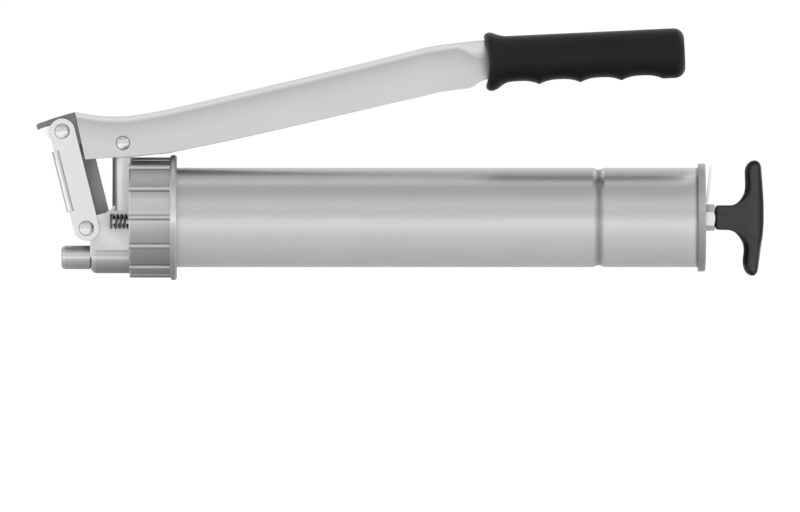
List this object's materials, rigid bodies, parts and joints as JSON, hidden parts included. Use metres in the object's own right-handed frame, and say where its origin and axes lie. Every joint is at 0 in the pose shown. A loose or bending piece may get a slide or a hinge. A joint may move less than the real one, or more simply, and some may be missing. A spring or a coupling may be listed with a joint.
{
  "type": "grease gun",
  "caption": "Hand lever grease gun with a screwed-on grease barrel, lever pump, follower rod with T-handle, and a threaded outlet.",
  "frame": {"origin": "on the barrel axis, in the rear face of the head's rim, where the grease barrel comes out of the head", "axes": "+X along the barrel axis towards the T-handle, +Z towards the lever, +Y completes the right hand (the vent valve is on the -Y side)"},
  "size_m": [0.4085, 0.0702, 0.1414],
  "materials": {
    "cast_alloy": "satin",
    "barrel_steel": "satin",
    "bright_steel": "polished",
    "sheet_steel": "satin zinc",
    "steel": "turned",
    "spring_steel": "dark",
    "black_rubber": "matt",
    "grip_plastic": "soft",
    "handle_plastic": "semi-gloss"
  },
  "bodies": {
    "head": {"head_casting": "cast_alloy", "outlet_adapter": "cast_alloy", "check_spring": "spring_steel", "plunger_seal": "black_rubber", "lower_pivot_rivet": "bright_steel", "vent_spring": "spring_steel"},
    "check_valve": {"check_ball": "bright_steel"},
    "vent_valve": {"vent_stem": "steel", "vent_button": "spring_steel", "vent_seal": "black_rubber"},
    "plunger": {"pump_plunger": "steel"},
    "link": {"link_channel": "sheet_steel", "upper_pivot_rivet": "bright_steel"},
    "lever": {"lever_channel": "sheet_steel", "lever_grip": "grip_plastic", "plunger_pin": "bright_steel", "pin_spacers": "steel"},
    "barrel_seat": {"head_gasket": "black_rubber"},
    "barrel": {"barrel_tube": "barrel_steel", "end_cap": "barrel_steel", "follower_spring": "spring_steel", "latch_spring": "spring_steel"},
    "rod_latch": {"latch_plate": "bright_steel"},
    "rod": {"follower_rod": "steel", "follower_cup": "black_rubber", "follower_washer": "steel", "follower_plate": "steel", "follower_nuts": "steel", "lock_nut": "bright_steel", "t_handle": "handle_plastic"}
  },
  "joints": [
    {"name": "plunger_slide", "type": "slide", "parent": "head", "child": "plunger", "axis": [0, 0, 1], "range_m": [0, 0.0213]},
    {"name": "lever_swing", "type": "hinge", "parent": "plunger", "child": "lever", "pos_m": [-0.0301, 0, 0.0418], "axis": [0, -1, 0], "range_deg": [0, 35]},
    {"name": "link_swing", "type": "hinge", "parent": "head", "child": "link", "pos_m": [-0.0507, 0, -0.006], "axis": [0, 1, 0], "range_deg": [0, 2.5]},
    {"name": "check_lift", "type": "slide", "parent": "head", "child": "check_valve", "axis": [-1, 0, 0], "range_m": [0, 0.0015], "stiffness_N_per_m": 300, "springref_m": -0.002, "deforming": ["check_spring"]},
    {"name": "vent_push", "type": "slide", "parent": "head", "child": "vent_valve", "axis": [1, 0, 0], "range_m": [0, 0.003], "stiffness_N_per_m": 1200, "springref_m": -0.002, "deforming": ["vent_spring"]},
    {"name": "barrel_feed", "type": "slide", "parent": "head", "child": "barrel_seat", "axis": [1, 0, 0], "range_m": [0, 0.0091]},
    {"name": "barrel_turn", "type": "hinge", "parent": "barrel_seat", "child": "barrel", "pos_m": [0, 0, 0], "axis": [1, 0, 0], "range_deg": [0, 2160]},
    {"name": "rod_slide", "type": "slide", "parent": "barrel", "child": "rod", "axis": [1, 0, 0], "range_m": [0, 0.205], "stiffness_N_per_m": 250, "springref_m": -0.1, "deforming": ["follower_spring"]},
    {"name": "latch_tilt", "type": "hinge", "parent": "barrel", "child": "rod_latch", "pos_m": [0.2961, 0, -0.0077], "axis": [0, -1, 0], "range_deg": [0, 3], "stiffness_Nm_per_rad": 1, "springref_deg": -2.86, "deforming": ["latch_spring"]}
  ],
  "couplings": [
    {"joint": "plunger_slide", "follows": "lever_swing", "m_per_rad": 0.03475},
    {"joint": "link_swing", "follows": "lever_swing", "ratio": 0.07},
    {"joint": "barrel_feed", "follows": "barrel_turn", "m_per_rad": 0.00023873}
  ]
}
